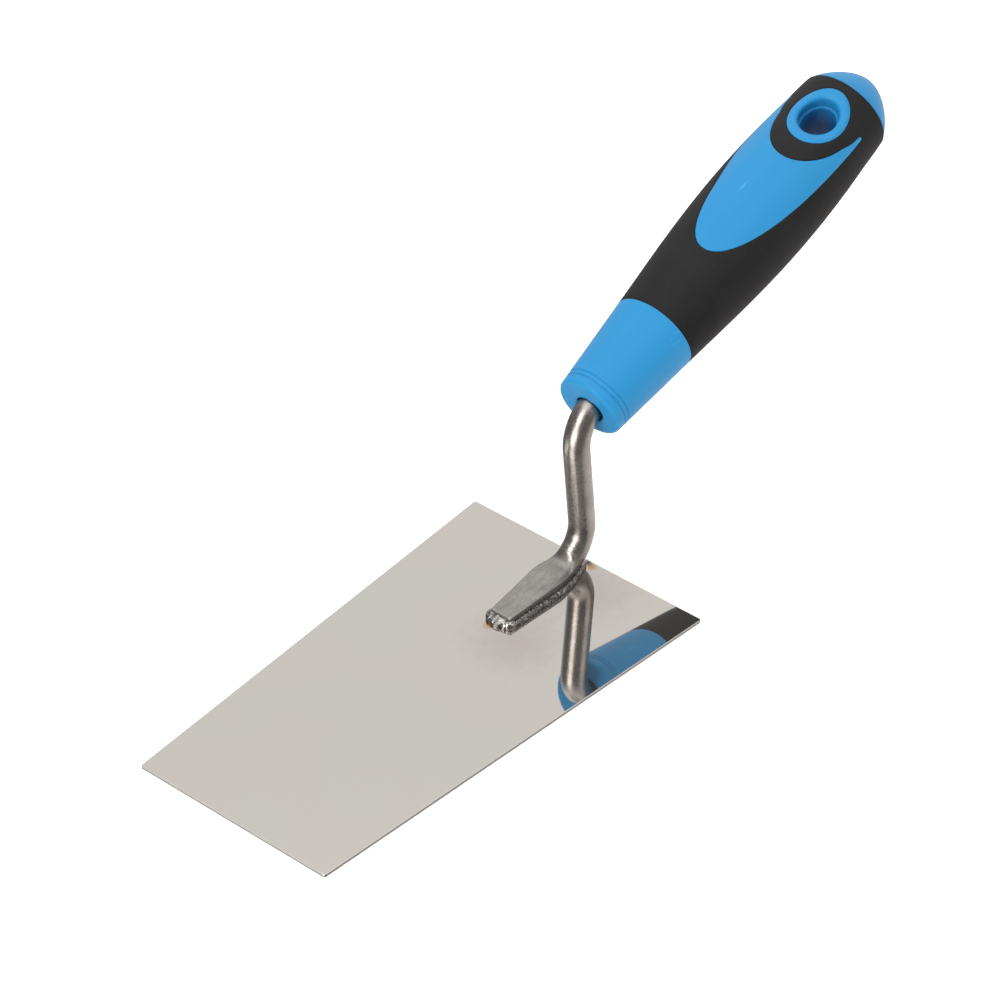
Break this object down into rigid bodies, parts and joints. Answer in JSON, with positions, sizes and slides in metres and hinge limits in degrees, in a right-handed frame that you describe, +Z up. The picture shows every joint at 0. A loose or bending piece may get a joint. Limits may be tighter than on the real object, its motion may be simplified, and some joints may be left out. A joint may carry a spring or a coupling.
{
  "type": "bucket trowel",
  "caption": "Bucket trowel: flat tapering polished steel blade, welded bent steel rod, and a two-part soft-grip handle with an oval hanging hole.",
  "frame": {"origin": "middle of the blade's flat underside, half way between its toe and heel edges", "axes": "+Z up off the blade, +Y from the blade's narrow toe to its wide heel and the handle, +X to the right seen from behind the handle"},
  "size_m": [0.086, 0.2832, 0.1087],
  "materials": {
    "blade_steel": "mirror polished stainless sheet",
    "rod_steel": "satin, with drawing and bending marks",
    "weld_metal": "rippled weld, heat darkened",
    "blue_plastic": "satin moulded polypropylene",
    "black_rubber": "matte soft-touch moulded rubber"
  },
  "bodies": {
    "root": {"blade": "blade_steel", "neck_rod": "rod_steel", "weld_bead_right": "weld_metal", "weld_bead_left": "weld_metal", "weld_nugget": "weld_metal", "handle_core": "blue_plastic", "grip": "black_rubber"}
  },
  "joints": []
}
